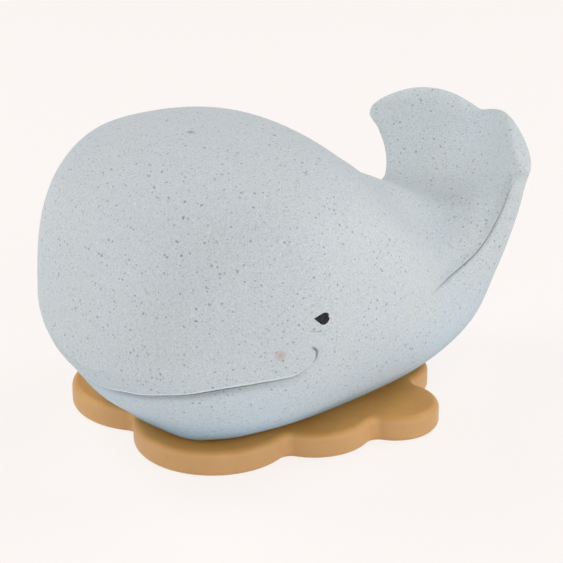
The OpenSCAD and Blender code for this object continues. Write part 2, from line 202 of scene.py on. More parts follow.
# Outward unit normals of the skin: the cross product of its slopes along and round the body, taken a
# little beside each point.
def skinNormal(place, turn):
    place = np.clip(place, 0.01, lastStation - 0.02)
    along = skinPoint(place + 0.004, turn) - skinPoint(place - 0.004, turn)
    around = skinPoint(place, turn + 0.4) - skinPoint(place, turn - 0.4)
    normal = np.cross(around, along)
    return normal / np.maximum(np.linalg.norm(normal, axis=-1, keepdims=True), 1e-9)


# Places of rings, closer together at both ends: 0.55 s + 0.45 (1 - cos(pi s)) / 2.
def ringPlaces(count, start, stop):
    s = np.linspace(0, 1, count + 1)
    return start + (stop - start) * (0.55 * s + 0.45 * (0.5 - 0.5 * np.cos(np.pi * s)))


# Draws values towards a centre: v - pull x (v - centre) x exp(-((v - centre) / width)^2).
def gather(values, centre, pull, width, period=None):
    off = values - centre
    if period:
        off = (off + period / 2) % period - period / 2
    return values - pull * off * bell(off, 0, width)


# Nearest point of a line to each of many points: its index and the offset from it.
def nearestOnLine(points, line):
    index = np.concatenate([
        np.argmin((line ** 2).sum(1)[None] - 2 * part @ line.T, axis=1)
        for part in np.array_split(points, max(1, len(points) // 4000))])
    return index, points - line[index]


# Places and turns of a pressed line, read smoothly from its tables.
def pressedLine(name, count):
    k = np.linspace(0, len(whale[name + "Turns"]) - 1, count)
    return curve(whale[name + "Places"], k), curve(whale[name + "Turns"], k)


# Line of the mouth on the near side: points, unit directions and each point's share of the length.
def mouthLine():
    line = skinPoint(*pressedLine("mouth", whale["mouthPoints"]))
    run = np.gradient(line, axis=0)
    run /= np.linalg.norm(run, axis=1, keepdims=True)
    length = np.concatenate([[0], np.cumsum(np.linalg.norm(np.diff(line, axis=0), axis=1))])
    return line, run, length / length[-1]


# Offset of the skin along its normal, in millimetres, for all that is pressed or raised on it. The right
# side is folded onto the left one, so both sides are alike.
def skinDetail(place, turn, points, normals):
    fold = np.where(points[:, 1:2] > 0, -1.0, 1.0) * [0, 1, 0] + [1, 0, 1]
    p, n = points * fold, normals * fold
    offset = np.zeros(len(p))

    # Mouth: the lip above stands proud of the jaw below, with a fine line at the foot of the step.
    line, run, share = mouthLine()
    near = (p[:, 0] < whale["mouthFront"]) & (p[:, 2] < whale["mouthTop"])
    index, off = nearestOnLine(p[near], line)
    rise = (off * np.cross(n[near], run[index])).sum(1)
    gap = np.sqrt(np.clip((off ** 2).sum(1) - rise ** 2, 0, None))
    step = np.interp(share[index], whale["mouthShares"], whale["lipStep"])
    groove = np.interp(share[index], whale["mouthShares"], whale["lipGroove"])
    above = ease(*whale["stepAcross"], rise)
    lip = step * sum(part * bell(rise, middle, width) for part, middle, width in whale["lipSwells"])
    jaw = -step * sum(part * bell(rise, middle, width) for part, middle, width in whale["jawSwells"])
    fadeFrom, fadeWidth = whale["mouthFade"]
    fade = bell(np.clip(gap - fadeFrom, 0, None), 0, fadeWidth)
    offset[near] += fade * (above * lip + (1 - above) * jaw - groove * bell(rise, *whale["grooveAcross"]))

    # Chin: low swells and a dip, height x exp(-(place off / width)^2 - (turn off / width)^2).
    side = np.where((turn > 270) | (turn < 90), (540 - turn) % 360, turn)
    for where, angle, placeWidth, turnWidth, height in whale["chin"]:
        offset += height * np.exp(-((place - where) / placeWidth) ** 2 - ((side - angle) / turnWidth) ** 2)

    # Eye: a shallow hollow round it and the short crease of its lower lid.
    distance = np.linalg.norm(p - skinPoint(whale["eyePlace"], whale["eyeTurn"]), axis=1)
    offset -= whale["eyeHollow"] * bell(distance, 0, whale["eyeHollowWidth"])
    near = distance < whale["lidReach"]
    index, off = nearestOnLine(p[near], skinPoint(*pressedLine("lid", whale["lidPoints"])))
    depth = whale["lidDepth"] * bell(np.linalg.norm(off, axis=1), 0, whale["lidWidth"])
    offset[near] -= depth * np.interp(index, whale["lidDepthMarks"], whale["lidDepths"])

    # Fold between the tail's scoop and its keel: a groove along the side line.
    strength = ease(whale["foldFrom"], whale["foldFrom"] + whale["foldRise"], place)
    strength = strength * (1 - ease(whale["foldTo"] - whale["foldFall"], whale["foldTo"], place))
    off = np.linalg.norm(p - skinPoint(place, 180.0), axis=1)
    offset -= whale["foldDepth"] * strength * bell(off, 0, whale["foldWidth"])

    # Faint moulded ring round the blowhole, and a dimple at its middle.
    off = np.linalg.norm((p - skinPoint(whale["blowholePlace"], 90.0))[:, :2], axis=1)
    for depth, radius, width in whale["crownRings"]:
        offset -= np.where(p[:, 2] > whale["crownLevel"], depth * bell(off, radius, width), 0)
    return offset


# Closed skin: a pole at the snout, rings of points, and a strip that zips the tail's thin end.
def closedSkin(name, points, pole):
    rings, turns = points.shape[:2]
    everything = np.concatenate([pole[None], points.reshape(-1, 3)])
    j = np.arange(turns)
    front = np.stack([np.zeros(turns, int), 1 + j, 1 + (j + 1) % turns], 1)
    last = 1 + (rings - 1) * turns
    k = np.arange(1, turns // 2 - 1)
    strip = np.stack([last + k, last + k + 1, last + (turns - k - 1), last + (turns - k)], 1)
    ends = np.array([[last, last + 1, last + turns - 1],
        [last + turns // 2, last + turns // 2 + 1, last + turns // 2 - 1]])
    return makePiece(name, everything, gridQuads(rings, turns, 1), strip[:, ::-1], front, ends)


# Pushes points up onto a level with a soft edge: level + w ln(1 + exp((z - level) / w)).
def settle(points, level, width):
    z = (points[..., 2] - level) / width
    points[..., 2] = level + width * np.where(z > 30, z, np.log1p(np.exp(np.minimum(z, 30))))
    return points


# Turned solid on a vertical axis: a profile of radii and levels carried round a circle.
def turnedSolid(name, profile, centre=(0, 0), steps=144):
    radii, levels = np.array(profile, float).T
    a = np.linspace(0, 2 * np.pi, steps, endpoint=False)
    rings = np.stack([centre[0] + radii[:, None] * np.cos(a), centre[1] + radii[:, None] * np.sin(a),
        np.repeat(levels[:, None], steps, 1)], -1)
    points = np.concatenate([rings.reshape(-1, 3), [[*centre, levels[0]], [*centre, levels[-1]]]])
    j, count = np.arange(steps), len(radii) * steps
    low = np.stack([np.full(steps, count), (j + 1) % steps, j], 1)
    high = np.stack([np.full(steps, count + 1), count - steps + j, count - steps + (j + 1) % steps], 1)
    return makePiece(name, points, gridQuads(len(radii), steps), low, high)


# Cuts tools out of a piece with exact booleans, keeps the result as the piece's mesh and drops the tools.
def cutOut(piece, tools):
    for tool in tools:
        modifier = piece.modifiers.new("cut", "BOOLEAN")
        modifier.operation, modifier.solver, modifier.object = "DIFFERENCE", "EXACT", tool
    bpy.context.view_layer.update()
    mesh = bpy.data.meshes.new_from_object(piece.evaluated_get(bpy.context.evaluated_depsgraph_get()))
    piece.modifiers.clear()
    piece.data = mesh
    for tool in tools:
        bpy.data.objects.remove(tool)
    return piece


# Stores for each line of painted shade or painted highlight on the skin, at the vertices near it, the distance
# across the line in millimetres and the line's strength there. Both vary evenly, so the shader can draw a line
# that is finer than the mesh. The distance is off . (normal x run) from the nearest point of the line.
def markLines(body):
    points = np.empty(len(body.data.vertices) * 3)
    body.data.vertices.foreach_get("co", points)
    p = points.reshape(-1, 3) / mm
    p[:, 1] = -np.abs(p[:, 1])
    share = mouthLine()[2]
    step, shade, light = (np.interp(share, whale["mouthShares"], whale[key])
        for key in ("lipStep", "lipShade", "lipHighlight"))
    drop, dropByStep = whale["lineDrop"]
    down = np.stack([0 * step, 0 * step, -drop - dropByStep * step], 1)
    mouth, lid = pressedLine("mouth", whale["mouthPoints"]), pressedLine("lid", whale["lidPoints"])
    lidShade = np.interp(np.arange(whale["lidPoints"]), whale["lidShadeMarks"], whale["lidShade"])
    foldPlaces = np.linspace(whale["foldFrom"], whale["foldTo"], whale["foldPoints"])
    foldShade = np.interp(foldPlaces, whale["foldPlaces"], whale["foldShade"])
    lines = {      # each line's places and turns on the skin, its shift and its strength
        # Painted shade on the mouth's line and a painted shadow under the lip, a painted highlight on its edge, and
        # painted shade along the lid's crease and the fold.
        "lipLine": (mouth, down, shade),
        "lipShadow": (mouth, whale["shadowDrop"] * down, shade * np.clip(2 * step, 0, 1)),
        "lipHighlightLine": (mouth, np.array([0, 0, whale["highlightRise"]]), light),
        "lidLine": (lid, 0, lidShade),
        "foldLine": ((foldPlaces, 180.0 + 0 * foldPlaces), 0, foldShade)}
    for name, (path, shift, strength) in lines.items():
        line, normal = skinPoint(*path) + shift, skinNormal(*path)
        run = np.gradient(line, axis=0)
        across = np.cross(normal, run / np.linalg.norm(run, axis=1, keepdims=True))
        reach = whale["lineReach"]
        near = np.flatnonzero(((p > line.min(0) - reach) & (p < line.max(0) + reach)).all(1))
        index, off = nearestOnLine(p[near], line)
        onSkin = np.abs((off * normal[index]).sum(1)) < whale["lineDepth"]
        value = np.tile([whale["offLine"], 0.0, 0.0], (len(p), 1))
        value[near[onSkin], 0] = (off * across[index]).sum(1)[onSkin]
        value[near[onSkin], 1] = strength[index][onSkin]
        body.data.attributes.new(name, "FLOAT_VECTOR", "POINT").data.foreach_set("vector", value.ravel())


# Whale with its hollow, neck, collar and blowhole cut out. Known fault: the cut leaves a disc at the bore's
# lower end, 1 mm under the belly, which closes the neck.
def makeWhale():
    belly = whale["bellyLevel"]
    places = ringPlaces(whale["rings"], 0, lastStation - whale["tailGap"])
    places = gather(places, *whale["ringGather"])[1:, None]
    centres = np.interp(places, whale["gatherPlaces"], whale["gatherTurns"])
    turns = np.arange(whale["turns"])[None] * 360 / whale["turns"]
    turns = gather(gather(turns, centres, *whale["turnGather"]), 540 - centres, *whale["turnGather"])
    places = np.broadcast_to(places, turns.shape)
    points, normals = skinPoint(places, turns), skinNormal(places, turns)
    detail = skinDetail(places.ravel(), turns.ravel(), points.reshape(-1, 3), normals.reshape(-1, 3))
    points = settle(points + normals * detail.reshape(places.shape)[..., None], belly, whale["bottomRound"])
    body = closedSkin("whaleBody", points, skinPoint(0.0, 0.0))

    inner = whale["wall"], whale["hollowFrom"], whale["hollowTo"]
    places = ringPlaces(whale["hollowRings"], whale["hollowFrom"], whale["hollowTo"] - whale["hollowGap"])[1:, None]
    turns = np.arange(whale["hollowTurns"])[None] * 360 / whale["hollowTurns"]
    floor = belly + whale["floor"]
    hollow = settle(skinPoint(places, turns, *inner), floor, whale["floorRound"])
    cavity = closedSkin("cavity", hollow, skinPoint(whale["hollowFrom"], 0.0, *inner))
    neck, outer, top = whale["neckRadius"], whale["neckRadius"] + whale["collarWall"], floor + whale["collar"]
    collar = turnedSolid("collar", [(outer, floor - whale["collarFoot"])]
        + [(outer + more, top + rise) for more, rise in whale["collarTop"]])
    cutOut(cavity, [collar])
    bore = turnedSolid("bore", [(neck + more, belly + rise) for more, rise in whale["neckFoot"]]
        + [(neck + more, top + rise) for more, rise in whale["neckTop"]])
    crown, r = skinPoint(whale["blowholePlace"], 90.0), whale["blowholeRadius"]
    blowhole = turnedSolid("blowhole", [(r + more, crown[2] + rise) for more, rise in whale["blowholeRim"]],
        (crown[0], crown[1]), whale["blowholeSteps"])
    cutOut(body, [cavity, bore, blowhole])
    body.data.set_sharp_from_angle(angle=np.radians(whale["sharpAngle"]))
    markLines(body)
    return body


# Outline of an eye: a drop with its point to the snout and a small notch in its round end. In polar form
# round the round end, the radius is the circle's out to the two tangent points and the tangents' beyond.
eye = {"length": 4.9, "height": 3.25, "dome": 0.45, "domePower": 6, "domeFall": 0.3, "depth": 0.6, "sunk": 0.25,
    "tilt": 14.0, "notch": 0.35, "notchTurn": 28.0, "notchWidth": 13.0, "turns": 160,
    "faceRings": 14, "rimRings": 9, "rimShare": 0.2, "rimFrom": 0.2}


def makeEye(name, mirror):
    r, reach = eye["height"] / 2, eye["length"] - eye["height"] / 2
    a = np.linspace(-np.pi, np.pi, eye["turns"], endpoint=False)
    bound = np.arccos(r / reach)      # angle from the point's direction to a tangent point
    off = np.abs((a + 2 * np.pi) % (2 * np.pi) - np.pi)
    radius = np.where(off < bound, r / np.cos(np.clip(bound - off, 0, 1.5)), r)
    turn = (np.degrees(a) - eye["notchTurn"] + 180) % 360 - 180
    radius = radius - eye["notch"] * bell(turn, 0, eye["notchWidth"])
    edge = eye["rimShare"]
    share = np.concatenate([np.linspace(0, 1 - edge, eye["faceRings"])[1:],
        1 - edge * np.cos(np.linspace(eye["rimFrom"], 1, eye["rimRings"]) * np.pi / 2), [1, 1]])
    fall = 1 - eye["domeFall"] * share ** 2
    rise = eye["dome"] * np.sqrt(np.clip(1 - share ** eye["domePower"], 0, 1)) * fall
    rise[-1] = -eye["depth"]
    across = share[:, None] * radius * np.cos(a) + reach - eye["length"] / 2
    up = share[:, None] * radius * np.sin(a)
    out = np.repeat(rise[:, None], len(a), 1)
    rings = np.stack([across, up, out], -1).reshape(-1, 3)
    centre = reach - eye["length"] / 2
    local = np.concatenate([rings, [[centre, 0, eye["dome"]], [centre, 0, -eye["depth"]]]])
    place, turn = whale["eyePlace"], whale["eyeTurn"]
    middle = skinPoint(place, turn)
    run = skinPoint(place + 0.1, turn) - skinPoint(place - 0.1, turn)
    heading, tilt = np.arctan2(run[1], run[0]), np.radians(eye["tilt"])
    forward = np.array([np.cos(heading), np.sin(heading), 0])
    outward = np.array([np.sin(heading), -np.cos(heading), 0])
    x = forward * np.cos(tilt) - np.array([0, 0, 1]) * np.sin(tilt)
    z = forward * np.sin(tilt) + np.array([0, 0, 1]) * np.cos(tilt)
    points = middle + local[:, :1] * x + local[:, 1:2] * z + (local[:, 2:] - eye["sunk"]) * outward
    if mirror:
        points = points * [1, -1, 1]
    j, steps, count = np.arange(len(a)), len(a), len(rings)
    front = np.stack([np.full(steps, count), j, (j + 1) % steps], 1)
    rear = np.stack([np.full(steps, count + 1), count - steps + (j + 1) % steps, count - steps + j], 1)
    return makePiece(name, points, gridQuads(len(share), steps), front[:, ::-1], rear[:, ::-1])


plate = {
    "length": 90.0, "width": 84.0, "thickness": 7.0, "edge": 1.9, "notch": 3.0,
    "plugRadius": 19.95, "plugTop": 19.0, "bevel": 1.5,
    "lobeX": [0.35, 0.33, 0.17, -0.03, -0.26, -0.265, -0.005, 0.22],
    "lobeY": [-0.12, 0.17, 0.335, 0.33, 0.255, -0.11, -0.255, -0.36],
    "lobeRadii": [0.15, 0.15, 0.145, 0.165, 0.228, 0.234, 0.178, 0.132],
    "arcSteps": 44, "hollowSteps": 18,
    "flangeRadius": 11.05, "flangeLevel": 1.8, "flangeBevel": 0.3, "cupRadius": 9.05, "cupLevel": 14.05,
    "cupRing": 8, "outletRadius": 4.0, "outletLead": (0.5, 0.6),
    "spread": (0.25, 0.5, 0.75, 0.92), "edgeRings": 9, "footRadius": 0.5, "crownRadius": 12, "sharpAngle": 50,
    "plugFoot": ((0.14, 0.14), (0, 0.5), (0, 5)),      # more radius than the plug, level over the top
    "plugShoulder": ((0, -0.4), (-0.1, 0), (-0.45, 0.5)),      # the same from the bevel's lower edge
    "plugCrown": ((0.3, -0.35), (0, -0.1), (-0.4, 0)),      # the same from its upper edge
}


# Outline of the plate: an arc on each lobe's circle, then the small hollow that touches it and the next
# lobe. Returns the points and their outward normals.
def plateOutline():
    centres = np.stack([np.array(plate["lobeX"]) * plate["length"], np.array(plate["lobeY"]) * plate["width"]], 1)
    radii = np.array(plate["lobeRadii"]) * plate["length"]
    nextCentres, nextRadii = np.roll(centres, -1, 0), np.roll(radii, -1)
    d = np.linalg.norm(nextCentres - centres, axis=1)
    ra, rb = radii + plate["notch"], nextRadii + plate["notch"]
    x = (d ** 2 + ra ** 2 - rb ** 2) / (2 * d)
    y = np.sqrt(ra ** 2 - x ** 2)
    u = (nextCentres - centres) / d[:, None]
    hollows = centres + x[:, None] * u + y[:, None] * np.stack([u[:, 1], -u[:, 0]], 1)
    points, normals = [], []
    for i in range(len(radii)):
        start = np.arctan2(*(hollows[i - 1] - centres[i])[::-1])
        sweep = (np.arctan2(*(hollows[i] - centres[i])[::-1]) - start) % (2 * np.pi)
        a = start + sweep * np.linspace(0, 1, plate["arcSteps"] + 1)
        n = np.stack([np.cos(a), np.sin(a)], 1)
        points.append(centres[i] + radii[i] * n)
        normals.append(n)
        start = np.arctan2(*(centres[i] - hollows[i])[::-1])
        sweep = (start - np.arctan2(*(nextCentres[i] - hollows[i])[::-1])) % (2 * np.pi)
        a = start - sweep * np.linspace(0, 1, plate["hollowSteps"] + 1)[1:-1]
        n = -np.stack([np.cos(a), np.sin(a)], 1)
        points.append(hollows[i] - plate["notch"] * n)
        normals.append(n)
    return np.concatenate(points), np.concatenate(normals)


# Plate with its plug: closed rings carried from the passage's top down its bores, over the underside, round
# the rounded rim, back over the top face and up the plug. A ring is a circle, the outline moved inward, or
# a mix of the two on the flat faces. A bevel's rows give how much more radius and height each ring has.
def makePlate():
    outline, normals = plateOutline()
    angle = np.arctan2(outline[:, 1], outline[:, 0])
    circle = np.stack([np.cos(angle), np.sin(angle)], 1)
    rows = []

    def ring(radius, level):
        rows.append(np.column_stack([circle * radius, np.full(len(circle), level)]))

    def rim(inward, level):
        rows.append(np.column_stack([outline - normals * inward, np.full(len(outline), level)]))

    def between(radius, inward, level, shares):
        for share in shares:
            flat = circle * radius * (1 - share) + (outline - normals * inward) * share
            rows.append(np.column_stack([flat, np.full(len(flat), level)]))

    t, e, top, b = plate["thickness"], plate["edge"], plate["plugTop"], plate["bevel"]
    flange, seat, bevel = plate["flangeRadius"], plate["flangeLevel"], plate["flangeBevel"]
    outlet, cup, plug = plate["outletRadius"], plate["cupRadius"], plate["plugRadius"]
    leadOut, leadDown = plate["outletLead"]
    for radius, level in ((outlet + leadOut, top), (outlet, top - leadDown), (outlet, plate["cupLevel"]),
            (cup, plate["cupLevel"]), (cup, plate["cupRing"]), (cup, seat), (flange, seat), (flange, bevel),
            (flange + bevel, 0)):
        ring(radius, level)
    between(flange + bevel, e, 0, plate["spread"])
    for a in np.radians(np.linspace(0, 90, plate["edgeRings"])):
        rim(e * (1 - np.sin(a)), e * (1 - np.cos(a)))
    for a in np.radians(np.linspace(90, 0, plate["edgeRings"])):
        rim(e * (1 - np.sin(a)), t - e * (1 - np.cos(a)))
    between(plug + plate["footRadius"], e, t, (*plate["spread"][::-1], 0))
    for radius, level, key in ((plug, t, "plugFoot"), (plug, top - b, "plugShoulder"), (plug - b, top, "plugCrown")):
        for more, rise in plate[key]:
            ring(radius + more, level + rise)
    ring(plate["crownRadius"], top)
    points = np.array(rows)
    piece = makePiece("stopperPlate", points.reshape(-1, 3), gridQuads(len(rows), len(outline), 0, True))
    piece.data.set_sharp_from_angle(angle=np.radians(plate["sharpAngle"]))
    return piece


# Adds a shader node of a kind, without its ShaderNode prefix, sets its properties and plain inputs, and links
# the inputs that are sockets.
def addNode(tree, kind, inputs=(), **settings):
    node = tree.nodes.new("ShaderNode" + kind)
    for key, value in settings.items():
        setattr(node, key, value)
    for key, value in dict(inputs).items():
        if isinstance(value, bpy.types.NodeSocket):
            tree.links.new(value, node.inputs[key])
        else:
            node.inputs[key].default_value = value
    return node


def addNoise(tree, vector, scale, detail, roughness=0.5):
    return addNode(tree, "TexNoise",
        {"Vector": vector, "Scale": scale, "Detail": detail, "Roughness": roughness})


def mathNode(tree, operation, a, b=0.0, clamp=False):
    return addNode(tree, "Math", {0: a, 1: b}, operation=operation, use_clamp=clamp).outputs[0]


def mixColour(tree, factor, a, b):
    return addNode(tree, "Mix", {0: factor, 6: a, 7: b}, data_type="RGBA").outputs[2]


def remap(tree, value, low, high, toLow=0.0, toHigh=1.0):
    return addNode(tree, "MapRange", {0: value, 1: low, 2: high, 3: toLow, 4: toHigh},
        interpolation_type="SMOOTHSTEP").outputs[0]


# New shader group with vector inputs, plain inputs and plain outputs, and its input and output nodes.
def newGroup(name, vectors, numbers, results):
    group = bpy.data.node_groups.new(name, "ShaderNodeTree")
    for names, side, kind in ((vectors, "INPUT", "Vector"), (numbers, "INPUT", "Float"), (results, "OUTPUT", "Float")):
        for socket in names:
            group.interface.new_socket(socket, in_out=side, socket_type="NodeSocket" + kind)
    return group, group.nodes.new("NodeGroupInput"), group.nodes.new("NodeGroupOutput")


speckle = {"power": 1.5, "softness": 0.06, "grainScale": 1900.0, "waveScale": 95.0}


# Shader group: flecks scattered in the rubber. Cells of one size each hold a fleck whose radius is a random
# share of the greatest one, on coordinates bent a little by noise so that the flecks aren't all round.
def fleckGroup():
    group, inside, outside = newGroup("rubberFlecks", ("Vector",), ("Spacing", "Radius", "Bend"), ("Mask", "Tone"))
    scale = mathNode(group, "DIVIDE", 1000.0, inside.outputs["Spacing"])
    noise = addNode(group, "TexNoise", {"Vector": inside.outputs["Vector"], "Scale": scale, "Detail": 1.0})
    bend = addNode(group, "VectorMath", {0: noise.outputs["Color"], 1: (0.5, 0.5, 0.5)}, operation="SUBTRACT")
    size = mathNode(group, "MULTIPLY", inside.outputs["Bend"], mathNode(group, "DIVIDE", 1.0, scale))
    bend = addNode(group, "VectorMath", {0: bend.outputs[0], "Scale": size}, operation="SCALE")
    bent = addNode(group, "VectorMath", {0: inside.outputs["Vector"], 1: bend.outputs[0]}, operation="ADD")
    cells = addNode(group, "TexVoronoi", {"Vector": bent.outputs[0], "Scale": scale})
    parts = addNode(group, "SeparateColor", {0: cells.outputs["Color"]})
    reach = mathNode(group, "DIVIDE", inside.outputs["Radius"], inside.outputs["Spacing"])
    reach = mathNode(group, "MULTIPLY", reach, mathNode(group, "POWER", parts.outputs[0], speckle["power"]))
    near = mathNode(group, "SUBTRACT", reach, cells.outputs["Distance"])
    mask = mathNode(group, "DIVIDE", near, speckle["softness"], clamp=True)
    group.links.new(mask, outside.inputs["Mask"])
    group.links.new(parts.outputs[1], outside.inputs["Tone"])
    return group


# Shader group: mask of a line of painted shade or painted highlight, strength x exp(-((distance - centre) / width)^2),
# from its stored vector.
def lineGroup():
    group, inside, outside = newGroup("drawnLine", ("Line",), ("Centre", "Width"), ("Mask",))
    parts = addNode(group, "SeparateXYZ", {0: inside.outputs["Line"]})
    off = mathNode(group, "SUBTRACT", parts.outputs["X"], inside.outputs["Centre"])
    off = mathNode(group, "DIVIDE", off, inside.outputs["Width"])
    fall = mathNode(group, "EXPONENT", mathNode(group, "MULTIPLY", mathNode(group, "MULTIPLY", off, off), -1.0))
    group.links.new(mathNode(group, "MULTIPLY", fall, parts.outputs["Y"]), outside.inputs["Mask"])
    return group


# Shader group: height of a fine moulded grain over slow waves, as dimpled rubber has.
def grainGroup():
    group, inside, outside = newGroup("rubberGrain", ("Vector",), ("Grain", "Waves"), ("Height",))
    vector = inside.outputs["Vector"]
    fine = addNoise(group, vector, speckle["grainScale"], 2.0, 0.6)
    slow = addNoise(group, vector, speckle["waveScale"], 2.0)
    height = mathNode(group, "ADD", mathNode(group, "MULTIPLY", fine.outputs[0], inside.outputs["Grain"]),
        mathNode(group, "MULTIPLY", slow.outputs[0], inside.outputs["Waves"]))
    group.links.new(height, outside.inputs["Height"])
    return group


flecks, grain, drawnLine = fleckGroup(), grainGroup(), lineGroup()


# New material with its object coordinates and its Principled shader, whose plain values are set here.
def newMaterial(name, **values):
    material = bpy.data.materials.new(name)
    material.use_nodes = True
    tree = material.node_tree
    shader = tree.nodes["Principled BSDF"]
    for key, value in values.items():
        shader.inputs[key.replace("_", " ")].default_value = value
    vector = addNode(tree, "TexCoord").outputs["Object"]
    return material, tree, shader, vector


# Lays flecks over a colour: spacing and greatest radius in millimetres, strength, two tones, the pattern's shift.
def addFlecks(tree, vector, colour, bend, spacing, radius, strength, dark, light, shift):
    moved = addNode(tree, "Mapping", {"Vector": vector, "Location": (shift, shift * 0.7, -shift)})
    values = {"Vector": moved.outputs[0], "Spacing": spacing, "Radius": radius, "Bend": bend}
    spots = addNode(tree, "Group", values, node_tree=flecks)
    tone = mixColour(tree, spots.outputs["Tone"], pixelColour(*dark), pixelColour(*light))
    return mixColour(tree, mathNode(tree, "MULTIPLY", spots.outputs["Mask"], strength), colour, tone)


# Bump from a node's first output: strength, and distance in metres.
def addBump(tree, shader, source, bump):
    node = addNode(tree, "Bump", {"Strength": bump[0], "Distance": bump[1], "Height": source.outputs[0]})
    tree.links.new(node.outputs[0], shader.inputs["Normal"])


# Gives a shader the rubber's grain as bump, and a roughness that varies with a noise.
def finishRubber(tree, shader, vector, noise, values):
    height = addNode(tree, "Group", {"Vector": vector, "Grain": values["grain"], "Waves": values["waves"]},
        node_tree=grain)
    addBump(tree, shader, height, values["bump"])
    low, high = values["roughness"] - values["roughSpread"], values["roughness"] + values["roughSpread"]
    tree.links.new(remap(tree, noise.outputs[0], 0.3, 0.7, low, high), shader.inputs["Roughness"])


paleRubber = {
    # The darkest colour below is painted shade for the drawn lines and the blowhole, the palest is a painted
    # highlight, and the two blue ones are painted bounce light and a painted reflection.
    "colour": pixelColour(211, 218, 221), "warm": pixelColour(212, 216, 211), "cool": pixelColour(207, 215, 224),
    "light": pixelColour(222, 229, 232), "dark": pixelColour(190, 199, 203), "paintedShade": pixelColour(88, 104, 112),
    "edge": pixelColour(250, 253, 253), "blemish": pixelColour(200, 180, 172),
    "paintedBounce": pixelColour(178, 215, 244), "blue": pixelColour(120, 178, 212),
    "roughness": 0.62, "roughSpread": 0.06, "specular": 0.35, "grain": 0.35, "waves": 0.9, "bump": (0.35, 0.00035),
    "cloudScale": 42.0, "patchScale": 130.0, "mottleScale": 2300.0, "mottleShare": 0.55, "fleckBend": 0.7,
    "paintedBounceRise": (0.008, 0.036, 0.32), "paintedReflectionRise": (0.009, 0.018, 0.5),      # two levels in metres, strength
    "flecks": (      # spacing and greatest radius in millimetres, strength, two tones, shift of the pattern
        (0.75, 0.3, 0.5, (152, 164, 174), (178, 178, 184), 0.0),
        (1.25, 0.4, 0.6, (116, 128, 138), (148, 148, 156), 0.013),
        (1.6, 0.35, 0.6, (232, 238, 238), (234, 232, 226), 0.041),
        (3.0, 0.46, 0.62, (88, 102, 116), (116, 118, 128), 0.029),
        (9.5, 0.66, 0.75, (72, 86, 100), (98, 102, 112), 0.053)),
    "spots": (      # colour, place and turn on the skin, radius in metres, strength
        ("blemish", whale["blemishPlace"], whale["blemishTurn"], 0.0022, 0.95),
        # Painted shade in the blowhole; the blemish above is the rubber's own colour.
        ("paintedShade", whale["blowholePlace"], 90.0, 0.0013, 0.9)),
    "lines": (      # stored line, its middle and width in millimetres, strength, colour
        # Painted shadow under the lip, painted highlight on its edge, painted shade on the mouth's, lid's and fold's
        # lines, and a broad painted shade beside the fold.
        ("lipShadow", -0.2, 1.3, 0.46, "paintedShade"),
        ("lipHighlightLine", 0.0, 0.3, 1.0, "edge"),
        ("lipLine", 0.0, 0.36, 0.95, "paintedShade"),
        ("lidLine", 0.0, 0.22, 1.0, "paintedShade"),
        ("foldLine", 1.2, 1.7, 0.16, "paintedShade"),
        ("foldLine", 0.0, 0.26, 1.0, "paintedShade")),
}


# Pale rubber: a cloudy mottled ground with painted bounce light and a painted blue reflection towards the belly,
# then flecks, a blemish, painted shade in the blowhole, and lines of painted shade and painted highlight.
def paleRubberMaterial():
    values = paleRubber
    material, tree, shader, vector = newMaterial("paleRubber", Specular_IOR_Level=values["specular"])
    cloud = addNoise(tree, vector, values["cloudScale"], 3.0, 0.55)
    patches = addNoise(tree, vector, values["patchScale"], 2.0)
    colour = mixColour(tree, remap(tree, cloud.outputs[0], 0.4, 0.62), values["warm"], values["cool"])
    colour = mixColour(tree, remap(tree, patches.outputs[0], 0.3, 0.7, 0.35, 0.9), colour, values["colour"])
    mottle = addNoise(tree, vector, values["mottleScale"], 1.5, 0.6)
    tone = mixColour(tree, remap(tree, mottle.outputs[0], 0.3, 0.7), values["dark"], values["light"])
    colour = mixColour(tree, values["mottleShare"], colour, tone)
    height = addNode(tree, "SeparateXYZ", {0: vector}).outputs["Z"]
    # Painted bounce light and a painted blue reflection, strongest low on the belly and fading upward.
    for rise, key in (("paintedBounceRise", "paintedBounce"), ("paintedReflectionRise", "blue")):
        colour = mixColour(tree, remap(tree, height, *values[rise], 0.0), colour, values[key])
    for row in values["flecks"]:
        colour = addFlecks(tree, vector, colour, values["fleckBend"], *row)
    # A blemish of the rubber's own colour, and painted shade in the blowhole, broken up by the mottle.
    for key, place, turn, width, strength in values["spots"]:
        centre = tuple(skinPoint(place, turn) * mm)
        off = addNode(tree, "VectorMath", {0: vector, 1: centre}, operation="DISTANCE").outputs["Value"]
        mottleBreak = remap(tree, mottle.outputs[0], 0.3, 0.5, 0.4, 1.0)
        mask = mathNode(tree, "MULTIPLY", remap(tree, off, 0.0, width, strength, 0.0), mottleBreak)
        colour = mixColour(tree, mask, colour, values[key])
    # Lines of painted shade and painted highlight.
    for name, centre, width, strength, key in values["lines"]:
        stored = addNode(tree, "Attribute", attribute_name=name).outputs["Vector"]
        mask = addNode(tree, "Group", {"Line": stored, "Centre": centre, "Width": width}, node_tree=drawnLine)
        colour = mixColour(tree, mathNode(tree, "MULTIPLY", mask.outputs[0], strength), colour, values[key])
    tree.links.new(colour, shader.inputs["Base Color"])
    finishRubber(tree, shader, vector, patches, values)
    return material


tanRubber = {
    # The light colour is painted light for the upright faces.
    "colour": pixelColour(216, 160, 88), "deep": pixelColour(206, 148, 76), "light": pixelColour(221, 180, 134),
    "roughness": 0.48, "roughSpread": 0.06, "specular": 0.4, "grain": 0.25, "waves": 0.8, "bump": (0.3, 0.0003),
    "cloudScale": 70.0, "paintedSideLightShare": 0.46, "fleckBend": 0.5,
    "flecks": (2.4, 0.4, 0.25, (150, 100, 55), (205, 165, 115), 0.017),
}


